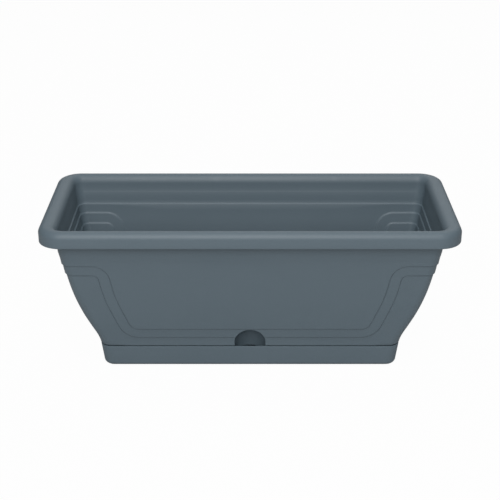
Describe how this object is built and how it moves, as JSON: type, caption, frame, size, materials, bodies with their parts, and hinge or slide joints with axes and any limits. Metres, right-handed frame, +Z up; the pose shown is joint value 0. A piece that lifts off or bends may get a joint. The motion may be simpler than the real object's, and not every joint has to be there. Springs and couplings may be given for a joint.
{
  "type": "self watering planter",
  "caption": "Long tapered planting trough with a rolled rim, standing in a shallow water tray that perforated wicking cups dip into; a half-round port at the foot takes the water.",
  "frame": {"origin": "centre of the overall box at the base, on the plane that the tray stands on", "axes": "+Z up, +X along the planter, -Y towards the side with the watering port"},
  "size_m": [0.5, 0.21, 0.2],
  "materials": {
    "plastic": "matte, fine moulded texture",
    "felt": "soft needled felt"
  },
  "bodies": {
    "tray": {"water_tray": "plastic"},
    "trough": {"trough_body": "plastic"},
    "cup_1": {"wick_cup_1": "plastic", "felt_wick_1": "felt"},
    "cup_2": {"wick_cup_2": "plastic", "felt_wick_2": "felt"},
    "cup_3": {"wick_cup_3": "plastic", "felt_wick_3": "felt"},
    "cup_4": {"wick_cup_4": "plastic", "felt_wick_4": "felt"}
  },
  "joints": [
    {"name": "trough_lift", "type": "slide", "parent": "tray", "child": "trough", "axis": [0, 0, 1], "range_m": [0, 0.08]},
    {"name": "cup_1_lift", "type": "slide", "parent": "trough", "child": "cup_1", "axis": [0, 0, 1], "range_m": [0, 0.21]},
    {"name": "cup_2_lift", "type": "slide", "parent": "trough", "child": "cup_2", "axis": [0, 0, 1], "range_m": [0, 0.21]},
    {"name": "cup_3_lift", "type": "slide", "parent": "trough", "child": "cup_3", "axis": [0, 0, 1], "range_m": [0, 0.21]},
    {"name": "cup_4_lift", "type": "slide", "parent": "trough", "child": "cup_4", "axis": [0, 0, 1], "range_m": [0, 0.21]}
  ]
}
